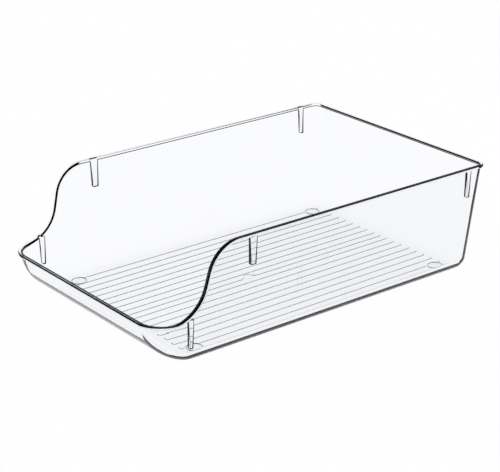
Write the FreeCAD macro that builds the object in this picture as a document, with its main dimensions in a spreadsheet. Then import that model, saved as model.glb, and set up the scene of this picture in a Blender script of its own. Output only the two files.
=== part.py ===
"""Open-front clear fridge bin: one moulded tray with a rolled rim, on four stick-on feet.

Frame: millimetres, +Z up, length along Y with the open front at -Y, width along X.
The origin is the middle of the footprint, on the surface that the feet stand on.
"""
import FreeCAD, Part
import math
import os
import re

import Sketcher

os.makedirs("parts", exist_ok=True)
doc = FreeCAD.newDocument("fridge_bin")

# Driving dimensions. Heights are measured up from the flat underside of the tray,
# which the feet hold foot_drop above the surface.
SIZES = {
    "bin_length": 320.0,         # over the rim, front to back
    "bin_width": 207.0,          # over the rim, side to side
    "wall_height": 90.0,         # underside to the top of the rim
    "lip_height": 35.0,          # underside to the top of the low front lip
    "wall": 2.0,                 # walls and floor
    "side_draft": 6.0,           # how far each side wall leans out over its height
    "back_draft": 4.5,
    "front_draft": 6.0,          # over the height of the lip
    "side_round": 10.0,          # outer radius between the floor and the side and back walls
    "front_round": 30.0,         # outer radius between the floor and the front wall
    "front_corner": 21.0,        # upright corners, outer radius
    "back_corner_low": 13.0,
    "back_corner_high": 6.6,
    "rim_reach": 1.9,            # how far the rim stands out of the wall
    "rim_depth": 2.4,
    "shoulder_start": 88.0,      # where the rim starts to drop, in front of the middle
    "shoulder_radius": 26.5,
    "throat_radius": 30.0,
    "drop_angle": 14.0,          # the steep stretch of the side's edge, from upright
    "rib_length": 21.5,          # nesting ribs, down from the rim
    "rib_front": 129.0,          # their places: two in front of the middle, one behind
    "rib_middle": 75.7,
    "rib_rear": 139.5,
    "front_rib_rise": 3.0,       # the front ribs start this far above the lip
    "rib_set_back": 0.2,         # their faces stand this far inside the rim's own
    "rib_top_width": 5.0,
    "rib_foot_width": 2.8,
    "middle_rib_top_width": 7.0,
    "middle_rib_foot_width": 4.6,
    "ridge_width": 3.6,          # fine ridges along the underside
    "ridge_height": 0.8,
    "ridge_flank": 45.0,         # slope of a ridge's flanks, from upright
    "ridge_first": 7.8,          # from the middle ridge to its neighbours
    "ridge_pitch": 9.05,
    "ridges_per_side": 9,
    "ridge_front": 120.0,
    "ridge_back": 142.0,
    "gate_diameter": 8.0,        # moulding gate, a shallow round recess
    "gate_depth": 0.4,
    "gate_gap": 10.0,            # the middle ridge stops on both sides of it
    "foot_diameter": 12.0,
    "foot_drop": 1.0,
    "foot_recess": 0.6,
    "foot_clearance": 1.0,       # bare underside around a foot
    "foot_gap": 0.1,             # between a foot and the side of its seat
    "foot_edge": 0.5,
    "foot_across": 76.0,
    "foot_ahead": 110.0,
    "foot_behind": 132.7,
}
CUT_MARGIN = 10.0                # how far cutting shapes run past what they cut

sheet = doc.addObject("Spreadsheet::Sheet", "sizes")
for row, (alias, value) in enumerate(SIZES.items(), start=1):
    sheet.set(f"A{row}", alias)
    sheet.set(f"B{row}", str(value))
    sheet.setAlias(f"B{row}", alias)
doc.recompute()


# ---------------------------------------------------------------- expressions and sketches

def bound(text):
    """The text with each of the sheet's words as a reference to its cell."""
    return re.sub(r"\b(" + "|".join(SIZES) + r")\b", r"sizes.\1", str(text))


def size(text):
    """The present value of an expression."""
    return float(sheet.evalExpression(bound(text)))


def plane(body, role):
    return next(item for item in body.Origin.OriginFeatures if item.Role == role)


def new_sketch(body, name, role, offset):
    """A sketch on one of the body's own origin planes, moved along the plane's normal."""
    sketch = body.newObject("Sketcher::SketchObject", name)
    sketch.AttachmentSupport = [(plane(body, role), "")]
    sketch.MapMode = "FlatFace"
    sketch.setExpression("AttachmentOffset.Base.z", bound(offset))
    return sketch


def drive(sketch, kind, *where, to):
    """Add a dimension and bind it to the sheet."""
    index = sketch.addConstraint(Sketcher.Constraint(kind, *where, size(to)))
    sketch.setExpression(f"Constraints[{index}]", bound(to))


def fix(sketch, kind, *where):
    sketch.addConstraint(Sketcher.Constraint(kind, *where))


def place_point(sketch, edge, end, across=None, up=None):
    """Bind an edge's end to a signed distance from the sketch's origin, either way or both."""
    for kind, where in (("DistanceX", across), ("DistanceY", up)):
        if where is None:
            continue
        if size(where) < 0:
            drive(sketch, kind, edge, end, -1, 1, to=f"-({where})")
        else:
            drive(sketch, kind, -1, 1, edge, end, to=where)


def point(across, up):
    return FreeCAD.Vector(across, up, 0)


def add_line(sketch, start, end):
    return sketch.addGeometry(Part.LineSegment(point(*start), point(*end)))


def add_arc(sketch, centre, radius, start_angle, end_angle):
    circle = Part.Circle(point(*centre), FreeCAD.Vector(0, 0, 1), radius)
    return sketch.addGeometry(Part.ArcOfCircle(circle, math.radians(start_angle), math.radians(end_angle)))


def add_feature(body, kind, name, **settings):
    feature = body.newObject(f"PartDesign::{kind}", name)
    for key, value in settings.items():
        setattr(feature, key, value)
    body.Tip = feature
    return feature


# ---------------------------------------------------------------- level sections of the tray

def arc_height(angle, radius, skin):
    """Height of a point on a bottom round, for the surface that lies skin inside the outer one."""
    return f"({skin} + ({radius} - {skin}) * (1 - cos({angle})))"


def inset(radius, height, skin):
    """How far inside the drafted outer wall the surface lies at a height."""
    if size(height) > size(radius) - 1e-6:
        return f"({skin})"
    return f"({radius} - sqrt(max(0; ({radius} - {skin})^2 - ({radius} - {height})^2)))"


def level_section(body, name, height, skin):
    """The tray's rounded outline at one height, skin inside its outer surface."""
    side_in = inset("side_round", height, skin)
    front_in = inset("front_round", height, skin)
    rise = f"({height}) / wall_height"
    half_width = f"bin_width / 2 - rim_reach - side_draft * (1 - {rise}) - {side_in}"
    back = f"bin_length / 2 - rim_reach - back_draft * (1 - {rise}) - {side_in}"
    front = f"bin_length / 2 - rim_reach - front_draft * (1 - ({height}) / lip_height) - {front_in}"
    back_corner = f"back_corner_low + (back_corner_high - back_corner_low) * {rise} - {side_in}"
    front_corner = f"front_corner - ({side_in} + {front_in}) / 2"

    sketch = new_sketch(body, name, "XY_Plane", f"foot_drop + {height}")
    right, rear, ahead = size(half_width), size(back), -size(front)
    rear_round, front_round = size(back_corner), size(front_corner)
    add_line(sketch, (-right + front_round, ahead), (right - front_round, ahead))
    add_arc(sketch, (right - front_round, ahead + front_round), front_round, 270, 360)
    add_line(sketch, (right, ahead + front_round), (right, rear - rear_round))
    add_arc(sketch, (right - rear_round, rear - rear_round), rear_round, 0, 90)
    add_line(sketch, (right - rear_round, rear), (-right + rear_round, rear))
    add_arc(sketch, (-right + rear_round, rear - rear_round), rear_round, 90, 180)
    add_line(sketch, (-right, rear - rear_round), (-right, ahead + front_round))
    add_arc(sketch, (-right + front_round, ahead + front_round), front_round, 180, 270)
    for edge in range(8):
        fix(sketch, "Tangent", edge, 2, (edge + 1) % 8, 1)
    for edge in (0, 4):
        fix(sketch, "Horizontal", edge)
    for edge in (2, 6):
        fix(sketch, "Vertical", edge)
    fix(sketch, "Symmetric", 2, 1, 6, 2, -2)
    fix(sketch, "Equal", 3, 5)
    drive(sketch, "Radius", 1, to=front_corner)
    drive(sketch, "Radius", 3, to=back_corner)
    place_point(sketch, 2, 1, across=half_width)
    place_point(sketch, 4, 1, up=back)
    place_point(sketch, 0, 1, up=f"-({front})")
    return sketch


def level_loft(body, kind, name, heights, skin, ruled):
    sections = [level_section(body, f"{name}_level_{count}", height, skin)
                for count, height in enumerate(heights)]
    doc.recompute()
    loft = add_feature(body, kind, name, Ruled=ruled)
    loft.Profile = sections[0]
    loft.Sections = sections[1:]
    doc.recompute()
    return loft


def tray_block(body, kind, name, skin, top):
    """A block in the tray's own shape, in three lofts that meet where a bottom round ends.

    The lowest turns up from the floor all round, the next follows the longer round of the
    front wall, and the walls above are straight.
    """
    low = [arc_height(angle, "side_round", skin) for angle in range(0, 91, 15)]
    high = [arc_height(angle, "front_round", skin) for angle in (60, 70, 80, 90)]
    level_loft(body, kind, f"{name}_floor_turn", low, skin, False)
    level_loft(body, kind, f"{name}_front_turn", [low[-1]] + high, skin, False)
    level_loft(body, kind, f"{name}_walls", [high[-1], top], skin, True)


# ---------------------------------------------------------------- side profile of the rim

def side_profile(body, name, drop, limit):
    """A closed outline in the Y-Z plane between the rim's run, drop below its top, and a level."""
    top = f"(foot_drop + wall_height - {drop})"
    lip = f"(foot_drop + lip_height - {drop})"
    shoulder = f"(shoulder_radius - {drop})"
    throat = f"(throat_radius + {drop})"
    back_end = f"(bin_length / 2 + {CUT_MARGIN})"

    lean = size("drop_angle")
    upper = (-size("shoulder_start"), size(top) - size(shoulder))
    lower_up = size(lip) + size(throat)
    upper_end = (upper[0] - size(f"{shoulder} * cos(drop_angle)"),
                 upper[1] + size(f"{shoulder} * sin(drop_angle)"))
    lower_end_up = lower_up - size(f"{throat} * sin(drop_angle)")
    lower_end_across = upper_end[0] - (upper_end[1] - lower_end_up) * size("tan(drop_angle)")
    lower = (lower_end_across - size(f"{throat} * cos(drop_angle)"), lower_up)
    far, level = size(back_end), size(limit)

    sketch = new_sketch(body, name, "YZ_Plane", "0")
    add_arc(sketch, upper, size(shoulder), 90, 180 - lean)
    add_line(sketch, upper_end, (lower_end_across, lower_end_up))
    add_arc(sketch, lower, size(throat), 270, 360 - lean)
    add_line(sketch, (lower[0], size(lip)), (-far, size(lip)))
    add_line(sketch, (-far, size(lip)), (-far, level))
    add_line(sketch, (-far, level), (far, level))
    add_line(sketch, (far, level), (far, size(top)))
    add_line(sketch, (far, size(top)), (upper[0], size(top)))
    fix(sketch, "Tangent", 7, 2, 0, 1)
    fix(sketch, "Tangent", 0, 2, 1, 1)
    fix(sketch, "Tangent", 1, 2, 2, 2)
    fix(sketch, "Tangent", 2, 1, 3, 1)
    for edge in (3, 4, 5, 6):
        fix(sketch, "Coincident", edge, 2, edge + 1, 1)
    for edge in (3, 5, 7):
        fix(sketch, "Horizontal", edge)
    for edge in (4, 6):
        fix(sketch, "Vertical", edge)
    drive(sketch, "Radius", 0, to=shoulder)
    drive(sketch, "Radius", 2, to=throat)
    place_point(sketch, 0, 1, across="-shoulder_start", up=top)
    place_point(sketch, 3, 2, across=f"-{back_end}", up=lip)
    place_point(sketch, 5, 2, across=back_end, up=limit)
    drive(sketch, "Angle", 1, to="-(90 + drop_angle)")
    return sketch


def cut_across(body, name, sketch):
    """Cut a side profile right through, both ways from the middle plane."""
    doc.recompute()
    add_feature(body, "Pocket", name, Profile=sketch, Type="ThroughAll", SideType="Symmetric")
    doc.recompute()


# ---------------------------------------------------------------- details of the tray

def nesting_rib(body, name, station, top_width, foot_width, rim_top):
    """A tapered rib under the rim on the +X side; its outer face is upright."""
    reach = f"bin_width / 2 - side_draft * (1 - {rim_top} / wall_height) - rib_set_back"
    high = f"foot_drop + {rim_top} - rim_depth / 2"
    low = f"foot_drop + {rim_top} - rim_depth - rib_length"
    middle, upper, lower = size(station), size(high), size(low)
    half_top, half_foot = size(top_width) / 2, size(foot_width) / 2

    sketch = new_sketch(body, f"{name}_outline", "YZ_Plane", reach)
    corners = [(middle - half_foot, lower), (middle + half_foot, lower),
               (middle + half_top, upper), (middle - half_top, upper)]
    for start, end in zip(corners, corners[1:] + corners[:1]):
        add_line(sketch, start, end)
    for edge in range(4):
        fix(sketch, "Coincident", edge, 2, (edge + 1) % 4, 1)
    fix(sketch, "Horizontal", 0)
    fix(sketch, "Horizontal", 2)
    place_point(sketch, 0, 1, across=f"{station} - {foot_width} / 2", up=low)
    place_point(sketch, 0, 2, across=f"{station} + {foot_width} / 2")
    place_point(sketch, 2, 1, across=f"{station} + {top_width} / 2", up=high)
    place_point(sketch, 2, 2, across=f"{station} - {top_width} / 2")
    doc.recompute()
    pad = add_feature(body, "Pad", name, Profile=sketch, Reversed=True)
    pad.setExpression("Length", bound("rim_reach + side_draft"))
    doc.recompute()
    return pad


def slot(sketch, across, front, back):
    """A long round-ended outline along Y."""
    first = sketch.GeometryCount
    middle, half = size(across), size("ridge_width") / 2
    ahead, behind = size(front) + half, size(back) - half
    add_line(sketch, (middle + half, ahead), (middle + half, behind))
    add_arc(sketch, (middle, behind), half, 0, 180)
    add_line(sketch, (middle - half, behind), (middle - half, ahead))
    add_arc(sketch, (middle, ahead), half, 180, 360)
    for edge in range(4):
        fix(sketch, "Tangent", first + edge, 2, first + (edge + 1) % 4, 1)
    fix(sketch, "Vertical", first)
    drive(sketch, "Radius", first + 1, to="ridge_width / 2")
    place_point(sketch, first + 1, 3, across=across, up=f"{back} - ridge_width / 2")
    place_point(sketch, first + 3, 3, up=f"{front} + ridge_width / 2")


def ridge_pad(body, name, slots):
    """Low ridges with sloping flanks, standing down from the underside."""
    sketch = new_sketch(body, f"{name}_outline", "XY_Plane", "foot_drop")
    for across, front, back in slots:
        slot(sketch, across, front, back)
    doc.recompute()
    pad = add_feature(body, "Pad", name, Profile=sketch, Reversed=True, TaperAngle=-size("ridge_flank"))
    pad.setExpression("Length", bound("ridge_height"))
    doc.recompute()
    return pad


def round_recess(body, name, across, along, diameter, start, depth):
    """A round flat-bottomed recess cut up from a level at or below the underside."""
    sketch = new_sketch(body, f"{name}_outline", "XY_Plane", start)
    circle = Part.Circle(point(size(across), size(along)), FreeCAD.Vector(0, 0, 1), size(diameter) / 2)
    sketch.addGeometry(circle)
    drive(sketch, "Radius", 0, to=f"{diameter} / 2")
    if size(across) == 0:
        fix(sketch, "Coincident", 0, 3, -1, 1)
    else:
        place_point(sketch, 0, 3, across=across, up=along)
    doc.recompute()
    before = body.Shape.Volume
    pocket = add_feature(body, "Pocket", name, Profile=sketch, Reversed=True)
    pocket.setExpression("Length", bound(depth))
    doc.recompute()
    assert body.Shape.Volume < before, f"{name} cuts nothing"


# ---------------------------------------------------------------- the sub-parts

FEET = {
    "foot_front_left": ("-foot_across", "-foot_ahead"),
    "foot_front_right": ("foot_across", "-foot_ahead"),
    "foot_rear_left": ("-foot_across", "foot_behind"),
    "foot_rear_right": ("foot_across", "foot_behind"),
}


def make_tray():
    """The one-piece moulded tray: floor, three tall walls, low front, rim, ribs and ridges."""
    body = doc.addObject("PartDesign::Body", "bin_shell")
    body.Label = "bin_shell"

    # Rim: a block as large as the rim, of which only the band along the top edge is left.
    level_loft(body, "AdditiveLoft", "rim_block", ["front_round", "wall_height"], "(-rim_reach)", True)
    cut_across(body, "under_rim", side_profile(body, "under_rim_profile", "rim_depth", f"-{CUT_MARGIN}"))

    # Walls and floor as a solid block.
    tray_block(body, "AdditiveLoft", "block", "0", "wall_height")

    # Three nesting ribs outside each side wall.
    rear = nesting_rib(body, "rib_at_rear", "rib_rear", "rib_top_width", "rib_foot_width", "wall_height")
    middle = nesting_rib(body, "rib_at_middle", "-rib_middle", "middle_rib_top_width",
                         "middle_rib_foot_width", "wall_height")
    front = nesting_rib(body, "rib_at_front", "-rib_front", "rib_top_width", "rib_foot_width",
                        "(lip_height + front_rib_rise)")
    mirrored = add_feature(body, "Mirrored", "ribs_on_left", Originals=[rear, middle, front])
    mirrored.MirrorPlane = (plane(body, "YZ_Plane"), [""])
    body.Tip = mirrored
    doc.recompute()

    # The side's edge: high at the back, then down in an S to the lip.
    above = f"(foot_drop + wall_height + {CUT_MARGIN})"
    cut_across(body, "over_rim", side_profile(body, "over_rim_profile", "0", above))

    # Ridges along the underside, the middle one broken by the gate.
    ridge_pad(body, "middle_ridge", [("0", "-ridge_front", "-gate_gap / 2"),
                                     ("0", "gate_gap / 2", "ridge_back")])
    for name, sign in (("left", "-"), ("right", "")):
        pad = ridge_pad(body, f"first_ridge_{name}", [(f"{sign}ridge_first", "-ridge_front", "ridge_back")])
        pattern = add_feature(body, "LinearPattern", f"ridges_{name}", Originals=[pad])
        pattern.Direction = (plane(body, "X_Axis"), [""])
        pattern.Reversed = sign == "-"
        pattern.setExpression("Occurrences", bound("ridges_per_side"))
        pattern.setExpression("Length", bound("ridge_pitch * (ridges_per_side - 1)"))
        body.Tip = pattern
        doc.recompute()

    # The hollow.
    before = body.Shape.Volume
    tray_block(body, "SubtractiveLoft", "hollow", "wall", "(wall_height + 1)")
    assert body.Shape.Volume < before / 4, "the tray is not hollow"

    # Seats for the feet, clear of the ridges, and the gate.
    for name, (across, along) in FEET.items():
        round_recess(body, f"clear_{name}", across, along, "(foot_diameter + 2 * foot_clearance)",
                     "0", "foot_drop")
        round_recess(body, f"seat_{name}", across, along, "(foot_diameter + 2 * foot_gap)",
                     "0", "foot_drop + foot_recess")
    round_recess(body, "gate", "0", "0", "gate_diameter", "0", "foot_drop + gate_depth")
    return body


def make_foot(name, across, along):
    """A clear round pad stuck in its seat; its lower edge is rounded."""
    body = doc.addObject("PartDesign::Body", name)
    body.Label = name
    sketch = new_sketch(body, f"{name}_outline", "XY_Plane", "0")
    sketch.addGeometry(Part.Circle(point(0, 0), FreeCAD.Vector(0, 0, 1), size("foot_diameter / 2")))
    fix(sketch, "Coincident", 0, 3, -1, 1)
    drive(sketch, "Radius", 0, to="foot_diameter / 2")
    doc.recompute()
    pad = add_feature(body, "Pad", f"{name}_pad", Profile=sketch)
    pad.setExpression("Length", bound("foot_drop + foot_recess"))
    doc.recompute()
    lower_edge = next(f"Edge{count}" for count, edge in enumerate(pad.Shape.Edges, start=1)
                      if edge.BoundBox.ZMax < 1e-6)
    rounded = add_feature(body, "Fillet", f"{name}_round", Base=(pad, [lower_edge]))
    rounded.setExpression("Radius", bound("foot_edge"))
    body.setExpression("Placement.Base.x", bound(across))
    body.setExpression("Placement.Base.y", bound(along))
    return body


sub_parts = [make_tray()]
for foot_name, (foot_x, foot_y) in FEET.items():
    sub_parts.append(make_foot(foot_name, foot_x, foot_y))

doc.recompute()
for item in doc.Objects:
    failed = {"Invalid", "Error"} & set(item.State)
    assert not failed, f"{item.Label} failed: {item.State}"
for part in sub_parts:
    assert not part.Shape.isNull() and part.Shape.isValid(), f"{part.Label} has no valid shape"
    assert len(part.Shape.Solids) == 1, f"{part.Label} is not one solid"
for part in sub_parts:
    part.Shape.exportStep(f"parts/{part.Label}.step")
    box = part.Shape.BoundBox
    print(part.Label, [round(value, 2) for value in (box.XMin, box.XMax, box.YMin, box.YMax, box.ZMin, box.ZMax)],
          round(part.Shape.Volume / 1000, 1), "cm3")
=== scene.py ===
import math

import bmesh
import bpy
import numpy as np
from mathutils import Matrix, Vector


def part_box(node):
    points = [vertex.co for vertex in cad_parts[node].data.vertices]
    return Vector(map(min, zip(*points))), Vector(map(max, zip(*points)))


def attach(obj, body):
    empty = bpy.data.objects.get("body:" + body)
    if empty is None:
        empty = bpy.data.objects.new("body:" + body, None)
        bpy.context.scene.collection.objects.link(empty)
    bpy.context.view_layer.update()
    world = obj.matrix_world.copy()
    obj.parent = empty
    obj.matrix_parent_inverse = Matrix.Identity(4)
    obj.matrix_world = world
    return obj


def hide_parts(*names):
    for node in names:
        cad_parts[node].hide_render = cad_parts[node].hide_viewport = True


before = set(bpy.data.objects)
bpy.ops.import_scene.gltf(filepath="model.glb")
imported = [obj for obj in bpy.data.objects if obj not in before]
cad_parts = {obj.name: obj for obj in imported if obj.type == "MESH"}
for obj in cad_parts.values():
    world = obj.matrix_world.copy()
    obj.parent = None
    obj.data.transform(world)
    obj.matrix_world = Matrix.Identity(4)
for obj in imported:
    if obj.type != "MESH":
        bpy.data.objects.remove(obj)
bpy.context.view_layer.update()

# The tray is shaped in millimetres, with heights measured up from its flat underside.
MM = 0.001
SHELL_LOW, SHELL_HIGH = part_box("bin_shell")
WIDTH = (SHELL_HIGH.x - SHELL_LOW.x) / MM
LENGTH = (SHELL_HIGH.y - SHELL_LOW.y) / MM
WALL_HEIGHT = 90.0
UNDERSIDE = SHELL_HIGH.z / MM - WALL_HEIGHT      # above the surface the bin stands on
LIP_HEIGHT = 35.0
WALL = 2.0
SIDE_DRAFT, BACK_DRAFT, FRONT_DRAFT = 6.0, 4.5, 6.0
SIDE_ROUND, FRONT_ROUND = 10.0, 30.0             # between the floor and the walls
INNER_FULLNESS = 0.35                            # 0 leaves the wall evenly thick round the bottom
FRONT_CORNER = 21.0                              # upright corners
BACK_CORNER_LOW, BACK_CORNER_HIGH = 13.0, 6.6
RIM_REACH, RIM_DEPTH = 1.9, 2.4
RIM_OUTER_ROUND, RIM_FOOT_ROUND, RIM_INNER_ROUND = 1.3, 0.8, 1.15

# The side's edge from the lip up to the wall's full height, in the Y-height plane.
SHOULDER_START, SHOULDER_RADIUS = -88.0, 26.5
THROAT_RADIUS = 30.0
DROP_ANGLE = math.radians(14.0)                  # of the straight between the arcs, from upright

RIB_LENGTH = 21.5
RIB_SETBACK = 0.2                                # of a rib's face from the rim's
RIB_ROUND = 0.35
# Place along Y, width at the top and at the foot, and height of the rim over the rib.
RIBS = ((139.5, 5.0, 2.8, WALL_HEIGHT),
        (-75.7, 7.0, 4.6, WALL_HEIGHT),
        (-129.0, 5.0, 2.8, LIP_HEIGHT + 3.0))

RIDGE_WIDTH, RIDGE_HEIGHT, RIDGE_RUN = 3.6, 0.8, 1.0     # the run is a flank's, for each 1 down
RIDGE_FIRST, RIDGE_PITCH, RIDGES_PER_SIDE = 7.8, 9.05, 9
RIDGE_FRONT, RIDGE_BACK = -120.0, 142.0
GATE_RADIUS, GATE_DEPTH, GATE_GAP = 4.0, 0.4, 10.0
FOOT_CLEARANCE, FOOT_GAP = 1.0, 0.1
SEAT_GAP = 0.05                                  # over a foot
CUT_FROM = -3.0                                  # below everything that is cut away
FEET = ("foot_front_left", "foot_front_right", "foot_rear_left", "foot_rear_right")

# How finely the surface is divided.
FRONT_STEPS, CORNER_STEPS = 10, 18
THROAT_STEPS, DROP_STEPS, SHOULDER_STEPS, SIDE_STEPS = 18, 4, 20, 24
BACK_CORNER_STEPS, BACK_STEPS = 12, 10
SIDE_TURN_STEPS, FRONT_TURN_STEPS = 14, 8
WALL_STEPS, RIM_ROUND_STEPS = 7, 8
SETTLING_ROUNDS = 20                             # to find where the rim stands over a column
SHARP_ANGLE = math.radians(32)

# Looks.
PLASTIC_IOR = 1.58
PLASTIC_TINT = (0.83, 0.85, 0.90)
TINT_DENSITY = 100.0                             # per metre
FOOT_IOR, FOOT_ROUGHNESS = 1.45, 0.1
FOOT_TINT = (0.80, 0.83, 0.95)
FOOT_TINT_DENSITY = 30.0
MIRROR_TINT = (0.1, 0.1, 0.1)                    # strength of reflections met square on
RIPPLE_ACROSS, RIPPLE_RISE = 0.03, 0.00002       # metres
FOOT_RIPPLE_ACROSS = 0.003
RIPPLE_STRETCH = (1.0, 0.35, 0.6)
FLOOR_REACH = 6.0                                # metres
FLOOR_DIFFUSE, FLOOR_GLOW = 0.04, 1.0
LIGHT_BY_ELEVATION = ((0, 1.1), (9, 1.1), (15, 0.6), (30, 0.6), (50, 0.4), (90, 0.3))
LIGHT_TINT = (0.93, 0.95, 1.0)
EXPOSURE = -0.03

# The photograph's camera, in degrees, metres and millimetres of lens and sensor.
AZIMUTH, ELEVATION = 51.532, 22.177
AIM = (-0.0086, 0.0094, 0.0318)
DISTANCE = 1.3211
LENS, SENSOR = 119.21, 36.0


# ---------------------------------------------------------------- the tray's surface

def turn_radius(radius, skin):
    """Radius of a bottom round on the surface that lies skin inside the outer one."""
    return radius - (1 - INNER_FULLNESS) * max(skin, 0.0)


def inset(radius, height, skin):
    """How far inside the drafted outer wall the surface lies, skin inside the outer one."""
    turn = turn_radius(radius, skin)
    middle = turn + skin
    inner = np.clip(turn ** 2 - (middle - height) ** 2, 0.0, None)
    return np.where(height >= middle, skin, middle - np.sqrt(inner))


def level(height, skin):
    """Half width, front, back and corner radii of the rounded outline at a height."""
    side_in = inset(SIDE_ROUND, height, skin)
    front_in = inset(FRONT_ROUND, height, skin)
    rise = height / WALL_HEIGHT
    half_width = WIDTH / 2 - RIM_REACH - SIDE_DRAFT * (1 - rise) - side_in
    back = LENGTH / 2 - RIM_REACH - BACK_DRAFT * (1 - rise) - side_in
    front = LENGTH / 2 - RIM_REACH - FRONT_DRAFT * (1 - height / LIP_HEIGHT) - front_in
    back_corner = BACK_CORNER_LOW + (BACK_CORNER_HIGH - BACK_CORNER_LOW) * rise - side_in
    front_corner = FRONT_CORNER - (side_in + front_in) / 2
    return half_width, front, back, front_corner, back_corner


def outline_point(stretch, along, height, skin):
    """A point of the right half's outline; along runs 0 to 1 over the named stretch."""
    half_width, front, back, front_corner, back_corner = level(height, skin)
    if stretch == "front":
        return along * (half_width - front_corner), -front
    if stretch == "front_corner":
        turn = (along - 1) * math.pi / 2
        return (half_width - front_corner + front_corner * np.cos(turn),
                -front + front_corner + front_corner * np.sin(turn))
    if stretch == "side":
        start, end = -front + front_corner, back - back_corner
        return half_width, start + (end - start) * along
    if stretch == "back_corner":
        turn = along * math.pi / 2
        return (half_width - back_corner + back_corner * np.cos(turn),
                back - back_corner + back_corner * np.sin(turn))
    return (1 - along) * (half_width - back_corner), back


def rim_curve():
    """Centres of the two arcs of the side's edge."""
    upper = (SHOULDER_START, WALL_HEIGHT - SHOULDER_RADIUS)
    lower_height = LIP_HEIGHT + THROAT_RADIUS
    tangent = (upper[0] - SHOULDER_RADIUS * math.cos(DROP_ANGLE),
               upper[1] + SHOULDER_RADIUS * math.sin(DROP_ANGLE))
    end_height = lower_height - THROAT_RADIUS * math.sin(DROP_ANGLE)
    end = tangent[0] - (tangent[1] - end_height) * math.tan(DROP_ANGLE)
    lower = (end - THROAT_RADIUS * math.cos(DROP_ANGLE), lower_height)
    return upper, lower


def edge_height(along):
    """Height of the rim's top over the foot of the throat and the lip."""
    _, lower = rim_curve()
    reach = max(0.0, along - lower[0])
    return lower[1] - math.sqrt(THROAT_RADIUS ** 2 - reach ** 2)


def rim_columns():
    """The right half's columns, from the middle of the front to the middle of the back.

    Each is (stretch, place on it low down, top point or None, tilt, slope). The columns of the
    side fan out so that they meet its curved edge squarely.
    """
    upper, lower = rim_curve()
    columns = [("front", i / FRONT_STEPS, None, 0.0, 0.0) for i in range(FRONT_STEPS)]
    columns += [("front_corner", i / CORNER_STEPS, None, 0.0, 0.0) for i in range(CORNER_STEPS)]

    start_height = LIP_HEIGHT
    for _ in range(SETTLING_ROUNDS):
        start = outline_point("side", 0.0, start_height, 0.0)[1]
        start_height = edge_height(start)
    first_slope = math.asin((start - lower[0]) / THROAT_RADIUS)
    steepest = math.pi / 2 - DROP_ANGLE

    points = []                                   # (y, height, slope)
    for slope in np.linspace(first_slope, steepest, THROAT_STEPS + 1):
        points.append((lower[0] + THROAT_RADIUS * math.sin(slope),
                       lower[1] - THROAT_RADIUS * math.cos(slope), slope))
    tangent = (upper[0] - SHOULDER_RADIUS * math.sin(steepest),
               upper[1] + SHOULDER_RADIUS * math.cos(steepest))
    low_end = points[-1]
    for part in np.linspace(0, 1, DROP_STEPS + 1)[1:]:
        points.append((low_end[0] + (tangent[0] - low_end[0]) * part,
                       low_end[1] + (tangent[1] - low_end[1]) * part, steepest))
    for slope in np.linspace(steepest, 0, SHOULDER_STEPS + 1)[1:]:
        points.append((upper[0] - SHOULDER_RADIUS * math.sin(slope),
                       upper[1] + SHOULDER_RADIUS * math.cos(slope), slope))
    curved = len(points)
    end = float(outline_point("side", 1.0, WALL_HEIGHT, 0.0)[1])
    for part in np.linspace(0, 1, SIDE_STEPS + 1)[1:]:
        points.append((SHOULDER_START + (end - SHOULDER_START) * part, WALL_HEIGHT, 0.0))

    base_start = float(outline_point("side", 0.0, FRONT_ROUND, 0.0)[1])
    base_end = float(outline_point("side", 1.0, FRONT_ROUND, 0.0)[1])
    join = (SHOULDER_START - base_start) / (base_end - base_start)
    for count, (y, height, slope) in enumerate(points):
        if count < curved:
            place = join * count / (curved - 1)
        else:
            place = join + (1 - join) * (y - SHOULDER_START) / (end - SHOULDER_START)
        tilt = slope
        if count <= THROAT_STEPS:
            tilt = steepest * (slope - first_slope) / (steepest - first_slope)
        columns.append(("side", place, (y, height), tilt, slope))
    columns += [("back_corner", i / BACK_CORNER_STEPS, None, 0.0, 0.0)
                for i in range(1, BACK_CORNER_STEPS + 1)]
    columns += [("back", i / BACK_STEPS, None, 0.0, 0.0) for i in range(1, BACK_STEPS + 1)]
    return columns


def column_point(column, height, skin):
    stretch, along, _, _, _ = column
    x, y = outline_point(stretch, along, height, skin)
    return float(x), float(y), float(height)


def column_top(column, skin):
    """Height of the rim over a column that has no top point of its own."""
    stretch, along, _, _, _ = column
    if stretch in ("back_corner", "back"):
        return WALL_HEIGHT
    height = LIP_HEIGHT
    for _ in range(SETTLING_ROUNDS):
        height = edge_height(float(outline_point(stretch, along, height, skin)[1]))
    return height


def near_top(column, depth, skin):
    """The point of a column that lies depth below the rim's top, square to the edge."""
    _, _, top, tilt, slope = column
    if top is None:
        return column_point(column, column_top(column, skin) - depth, skin)
    run = depth / math.cos(slope - tilt)
    y = top[0] + run * math.sin(tilt)
    height = top[1] - run * math.cos(tilt)
    return float(level(height, skin)[0]), y, height


def between(column, low_height, depth, part, skin):
    """A point of the wall between a low level and the rim's foot."""
    foot = near_top(column, depth, skin)
    base = column_point(column, low_height, skin)
    height = base[2] + (foot[2] - base[2]) * part
    if column[2] is None:
        return column_point(column, height, skin)
    return float(level(height, skin)[0]), base[1] + (foot[1] - base[1]) * part, height


def turn_levels(skin):
    """Heights of the rings over the bottom rounds, close together where they turn up."""
    side_turn, front_turn = turn_radius(SIDE_ROUND, skin), turn_radius(FRONT_ROUND, skin)
    side = [skin + side_turn * (1 - math.cos(math.pi / 2 * i / SIDE_TURN_STEPS))
            for i in range(SIDE_TURN_STEPS + 1)]
    first = math.acos(1 - side_turn / front_turn)
    rest = math.pi / 2 - first
    front = [skin + front_turn * (1 - math.cos(first + rest * i / FRONT_TURN_STEPS))
             for i in range(1, FRONT_TURN_STEPS + 1)]
    return side + front


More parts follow.
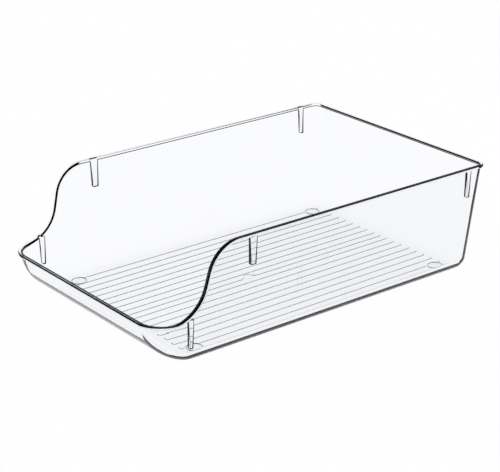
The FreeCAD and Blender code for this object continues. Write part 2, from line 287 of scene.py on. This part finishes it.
def rim_section():
    """The rim's cross-section from the outer wall over the top: (outward, depth) pairs."""
    def quarter(outward, depth, radius, start):
        turns = [start + math.pi / 2 * i / RIM_ROUND_STEPS for i in range(RIM_ROUND_STEPS + 1)]
        return [(outward + radius * math.cos(turn), depth - radius * math.sin(turn))
                for turn in turns]

    foot = quarter(RIM_REACH - RIM_FOOT_ROUND, RIM_DEPTH - RIM_FOOT_ROUND, RIM_FOOT_ROUND,
                   -math.pi / 2)
    outer = quarter(RIM_REACH - RIM_OUTER_ROUND, RIM_OUTER_ROUND, RIM_OUTER_ROUND, 0.0)
    inner = quarter(-WALL + RIM_INNER_ROUND, RIM_INNER_ROUND, RIM_INNER_ROUND, math.pi / 2)
    return [(0.0, RIM_DEPTH)] + foot + outer + inner


def shell_rings():
    """Closed rings of the whole surface: underside, outer wall, rim, inner wall, floor."""
    columns = rim_columns()
    rings = [[column_point(c, h, 0.0) for c in columns] for h in turn_levels(0.0)]
    parts = np.linspace(0, 1, WALL_STEPS + 1)[1:-1]
    rings += [[between(c, FRONT_ROUND, RIM_DEPTH, p, 0.0) for c in columns] for p in parts]
    rings += [[near_top(c, depth, -outward) for c in columns] for outward, depth in rim_section()]
    inner_top = WALL + turn_radius(FRONT_ROUND, WALL)
    rings += [[between(c, inner_top, RIM_INNER_ROUND, p, WALL) for c in columns]
              for p in parts[::-1]]
    rings += [[column_point(c, h, WALL) for c in columns] for h in turn_levels(WALL)[::-1]]
    closed = []
    for ring in rings:
        right = np.array(ring)
        left = right[-2:0:-1] * (-1, 1, 1)
        closed.append(np.vstack([right, left]))
    return closed


def mesh_from(name, points, faces):
    """A mesh from points in millimetres above the underside, placed in the frame."""
    mesh = bpy.data.meshes.new(name)
    placed = (np.array(points, float) + (0, 0, UNDERSIDE)) * MM
    mesh.from_pydata([tuple(p) for p in placed], [], faces)
    mesh.update()
    return mesh


def shell_mesh():
    """The tray without its ribs and ridges, closed by two flat faces: underside and floor."""
    rings = shell_rings()
    count = len(rings[0])
    faces = [tuple(range(count))[::-1]]
    for ring in range(len(rings) - 1):
        for i in range(count):
            after = (i + 1) % count
            faces.append((ring * count + i, ring * count + after,
                          (ring + 1) * count + after, (ring + 1) * count + i))
    last = (len(rings) - 1) * count
    faces.append(tuple(last + i for i in range(count)))
    return mesh_from("bin_shell_clear", np.vstack(rings), faces)


# ---------------------------------------------------------------- ribs, ridges, recesses

def prism(bm, outline, heights, grow=(0.0, 0.0)):
    """Add a closed prism; outline(offset) gives its corners, grown by an amount at each end."""
    loops = []
    for height, offset in zip(heights, grow):
        loops.append([bm.verts.new((x, y, height)) for x, y in outline(offset)])
    low, high = loops
    count = len(low)
    bm.faces.new(low[::-1])
    bm.faces.new(high)
    for i in range(count):
        after = (i + 1) % count
        bm.faces.new((low[i], low[after], high[after], high[i]))


def slot_outline(across, front, back, half, steps=8):
    """A long round-ended outline along Y, for prism."""
    def outline(offset):
        radius = half + offset
        ends = []
        for centre, start in ((front + half, math.pi), (back - half, 0.0)):
            for i in range(steps + 1):
                turn = start + math.pi * i / steps
                ends.append((across + radius * math.cos(turn), centre + radius * math.sin(turn)))
        return ends
    return outline


def circle_outline(across, along, radius, steps=48):
    """A round outline, for prism."""
    def outline(offset):
        return [(across + (radius + offset) * math.cos(2 * math.pi * i / steps),
                 along + (radius + offset) * math.sin(2 * math.pi * i / steps))
                for i in range(steps)]
    return outline


def finished(bm, name):
    """The bmesh, in millimetres above the underside, as an object in the frame."""
    bmesh.ops.translate(bm, vec=(0, 0, UNDERSIDE), verts=bm.verts)
    bmesh.ops.scale(bm, vec=(MM, MM, MM), verts=bm.verts)
    mesh = bpy.data.meshes.new(name)
    bm.to_mesh(mesh)
    bm.free()
    obj = bpy.data.objects.new(name, mesh)
    bpy.context.scene.collection.objects.link(obj)
    return obj


def foot_places():
    """Centre, radius and top of each foot, in millimetres."""
    places = {}
    for name in FEET:
        low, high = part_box(name)
        middle = (low + high) / 2 / MM
        places[name] = (middle.x, middle.y, (high.x - low.x) / 2 / MM, high.z / MM - UNDERSIDE)
    return places


def ridges():
    """Fine ridges with sloping flanks along the underside."""
    bm = bmesh.new()
    stretches = [(0.0, RIDGE_FRONT, -GATE_GAP / 2), (0.0, GATE_GAP / 2, RIDGE_BACK)]
    for count in range(RIDGES_PER_SIDE):
        across = RIDGE_FIRST + count * RIDGE_PITCH
        stretches += [(across, RIDGE_FRONT, RIDGE_BACK), (-across, RIDGE_FRONT, RIDGE_BACK)]
    inside = WALL / 4
    for across, front, back in stretches:
        prism(bm, slot_outline(across, front, back, RIDGE_WIDTH / 2),
              (-RIDGE_HEIGHT, inside), (-RIDGE_HEIGHT * RIDGE_RUN, inside * RIDGE_RUN))
    return finished(bm, "ridges")


def rib(bm, side, along, top_width, foot_width, rim_top):
    """A tapered nesting rib under the rim, its outer face upright."""
    face = WIDTH / 2 - SIDE_DRAFT * (1 - rim_top / WALL_HEIGHT) - RIB_SETBACK
    high, low = rim_top - RIM_DEPTH / 2, rim_top - RIM_DEPTH - RIB_LENGTH
    corners = ((-foot_width / 2, low), (foot_width / 2, low),
               (top_width / 2, high), (-top_width / 2, high))
    outer = [bm.verts.new((side * face, along + across, height)) for across, height in corners]
    inner = [bm.verts.new((side * float(level(height, WALL / 2)[0]), along + across, height))
             for across, height in corners]
    bm.faces.new(outer)
    bm.faces.new(inner[::-1])
    for i in range(4):
        after = (i + 1) % 4
        bm.faces.new((outer[after], outer[i], inner[i], inner[after]))
    edges = list({edge for vert in outer for edge in vert.link_edges})
    bmesh.ops.bevel(bm, geom=edges, offset=RIB_ROUND, segments=3, profile=0.5, affect="EDGES")


def ribs():
    """The six ribs, three on each side."""
    bm = bmesh.new()
    for side in (-1, 1):
        for along, top_width, foot_width, rim_top in RIBS:
            rib(bm, side, along, top_width, foot_width, rim_top)
    bmesh.ops.recalc_face_normals(bm, faces=bm.faces)
    return finished(bm, "ribs")


def combine(obj, other, operation):
    """Boolean obj with other and throw other away."""
    modifier = obj.modifiers.new(operation, "BOOLEAN")
    modifier.operation = operation
    modifier.solver = "EXACT"
    modifier.object = other
    bpy.context.view_layer.update()
    evaluated = obj.evaluated_get(bpy.context.evaluated_depsgraph_get())
    done = bpy.data.meshes.new_from_object(evaluated)
    obj.modifiers.clear()
    obj.data = done
    bpy.data.objects.remove(other)


def make_shell():
    """The one-piece tray, in place of the CAD's plainer one."""
    shell = bpy.data.objects.new("bin_shell_clear", shell_mesh())
    bpy.context.scene.collection.objects.link(shell)

    places = foot_places()
    under = ridges()
    clear = bmesh.new()
    for x, y, radius, _ in places.values():
        prism(clear, circle_outline(x, y, radius + FOOT_CLEARANCE), (CUT_FROM, WALL / 2))
    combine(under, finished(clear, "clearances"), "DIFFERENCE")
    combine(shell, under, "UNION")
    combine(shell, ribs(), "UNION")

    recesses = bmesh.new()
    for x, y, radius, top in places.values():
        prism(recesses, circle_outline(x, y, radius + FOOT_GAP), (CUT_FROM, top + SEAT_GAP))
    prism(recesses, circle_outline(0.0, 0.0, GATE_RADIUS), (CUT_FROM, GATE_DEPTH))
    combine(shell, finished(recesses, "recesses"), "DIFFERENCE")

    shell.data.polygons.foreach_set("use_smooth", [True] * len(shell.data.polygons))
    shell.data.set_sharp_from_angle(angle=SHARP_ANGLE)
    weighted = shell.modifiers.new("normals", "WEIGHTED_NORMAL")
    weighted.mode = "FACE_AREA"
    weighted.weight = 100
    weighted.keep_sharp = True
    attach(shell, "root")
    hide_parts("bin_shell")
    return shell


# ---------------------------------------------------------------- materials

def flow_ripple(nodes, links, across):
    """The normal of very shallow, long ripples, drawn out along the flow of the plastic."""
    place = nodes.new("ShaderNodeTexCoord")
    stretch = nodes.new("ShaderNodeMapping")
    stretch.inputs["Scale"].default_value = RIPPLE_STRETCH
    noise = nodes.new("ShaderNodeTexNoise")
    noise.inputs["Scale"].default_value = 1 / across
    noise.inputs["Detail"].default_value = 2.0
    noise.inputs["Roughness"].default_value = 0.4
    bump = nodes.new("ShaderNodeBump")
    bump.inputs["Strength"].default_value = 1.0
    bump.inputs["Distance"].default_value = RIPPLE_RISE
    links.new(place.outputs["Object"], stretch.inputs["Vector"])
    links.new(stretch.outputs["Vector"], noise.inputs["Vector"])
    links.new(noise.outputs["Fac"], bump.inputs["Height"])
    return bump.outputs["Normal"]


def clear_plastic(name, roughness, ior, absorb, density, across):
    """A clear moulded plastic, faintly tinted through its thickness and gently rippled.

    Light that enters is reflected and refracted like glass. Light that leaves is only refracted,
    so what total reflection would trap is lost, and the edges go dark.
    """
    material = bpy.data.materials.new(name)
    material.use_nodes = True
    nodes, links = material.node_tree.nodes, material.node_tree.links
    shader = nodes["Principled BSDF"]
    shader.inputs["Base Color"].default_value = (1, 1, 1, 1)
    shader.inputs["Transmission Weight"].default_value = 1.0
    shader.inputs["Roughness"].default_value = roughness
    shader.inputs["IOR"].default_value = ior
    shader.inputs["Specular Tint"].default_value = (*MIRROR_TINT, 1)
    leave = nodes.new("ShaderNodeBsdfRefraction")
    leave.inputs["Color"].default_value = (1, 1, 1, 1)
    leave.inputs["Roughness"].default_value = roughness
    leave.inputs["IOR"].default_value = ior
    normal = flow_ripple(nodes, links, across)
    links.new(normal, shader.inputs["Normal"])
    links.new(normal, leave.inputs["Normal"])
    side = nodes.new("ShaderNodeNewGeometry")
    faces = nodes.new("ShaderNodeMixShader")
    links.new(side.outputs["Backfacing"], faces.inputs[0])
    links.new(shader.outputs[0], faces.inputs[1])
    links.new(leave.outputs[0], faces.inputs[2])
    links.new(faces.outputs[0], nodes["Material Output"].inputs["Surface"])
    volume = nodes.new("ShaderNodeVolumeAbsorption")
    volume.inputs["Color"].default_value = (*absorb, 1)
    volume.inputs["Density"].default_value = density
    links.new(volume.outputs[0], nodes["Material Output"].inputs["Volume"])
    return material


# ---------------------------------------------------------------- stage

def make_camera():
    """A camera where the photograph's stood."""
    azimuth, elevation = math.radians(AZIMUTH), math.radians(ELEVATION)
    forward = Vector((-math.sin(azimuth) * math.cos(elevation),
                      math.cos(azimuth) * math.cos(elevation), -math.sin(elevation)))
    data = bpy.data.cameras.new("camera")
    data.lens = LENS
    data.sensor_width = SENSOR
    camera = bpy.data.objects.new("camera", data)
    camera.location = Vector(AIM) - forward * DISTANCE
    camera.rotation_euler = forward.to_track_quat("-Z", "Y").to_euler()
    bpy.context.scene.collection.objects.link(camera)
    bpy.context.scene.camera = camera


def make_floor():
    """A plain white floor that glows evenly, seen from above only."""
    mesh = bpy.data.meshes.new("floor")
    corners = [(x * FLOOR_REACH, y * FLOOR_REACH, 0)
               for x, y in ((-1, -1), (1, -1), (1, 1), (-1, 1))]
    mesh.from_pydata(corners, [], [(0, 1, 2, 3)])
    floor = bpy.data.objects.new("floor", mesh)
    material = bpy.data.materials.new("floor")
    material.use_nodes = True
    shader = material.node_tree.nodes["Principled BSDF"]
    shader.inputs["Base Color"].default_value = (*[FLOOR_DIFFUSE] * 3, 1)
    shader.inputs["Roughness"].default_value = 1.0
    shader.inputs["Specular IOR Level"].default_value = 0.0
    shader.inputs["Emission Color"].default_value = (1, 1, 1, 1)
    shader.inputs["Emission Strength"].default_value = FLOOR_GLOW
    nodes, links = material.node_tree.nodes, material.node_tree.links
    side = nodes.new("ShaderNodeNewGeometry")
    clear = nodes.new("ShaderNodeBsdfTransparent")
    mix = nodes.new("ShaderNodeMixShader")
    links.new(side.outputs["Backfacing"], mix.inputs[0])
    links.new(shader.outputs[0], mix.inputs[1])
    links.new(clear.outputs[0], mix.inputs[2])
    links.new(mix.outputs[0], nodes["Material Output"].inputs["Surface"])
    mesh.materials.append(material)
    bpy.context.scene.collection.objects.link(floor)


def make_light():
    """Soft pale light from all round, brightest near the horizon."""
    world = bpy.data.worlds.new("studio")
    world.use_nodes = True
    nodes, links = world.node_tree.nodes, world.node_tree.links
    direction = nodes.new("ShaderNodeTexCoord")
    parts = nodes.new("ShaderNodeSeparateXYZ")
    links.new(direction.outputs["Generated"], parts.inputs[0])
    ramp = nodes.new("ShaderNodeValToRGB")
    links.new(parts.outputs["Z"], ramp.inputs[0])
    elements = ramp.color_ramp.elements
    while len(elements) > 1:
        elements.remove(elements[-1])
    for count, (elevation, brightness) in enumerate(LIGHT_BY_ELEVATION):
        place = math.sin(math.radians(elevation))
        element = elements[0] if count == 0 else elements.new(place)
        element.position = place
        element.color = (*(brightness * part for part in LIGHT_TINT), 1)
    background = nodes["Background"]
    links.new(ramp.outputs[0], background.inputs["Color"])
    bpy.context.scene.world = world
    bpy.context.scene.view_settings.view_transform = "Standard"
    bpy.context.scene.view_settings.exposure = EXPOSURE


make_camera()
shell = make_shell()
shell.data.materials.clear()
shell.data.materials.append(clear_plastic("clear_plastic", 0.0, PLASTIC_IOR, PLASTIC_TINT,
                                          TINT_DENSITY, RIPPLE_ACROSS))
foot_plastic = clear_plastic("clear_foot", FOOT_ROUGHNESS, FOOT_IOR, FOOT_TINT,
                             FOOT_TINT_DENSITY, FOOT_RIPPLE_ACROSS)
for name in FEET:
    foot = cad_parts[name]
    for slot in foot.material_slots:
        slot.material = foot_plastic
make_floor()
make_light()
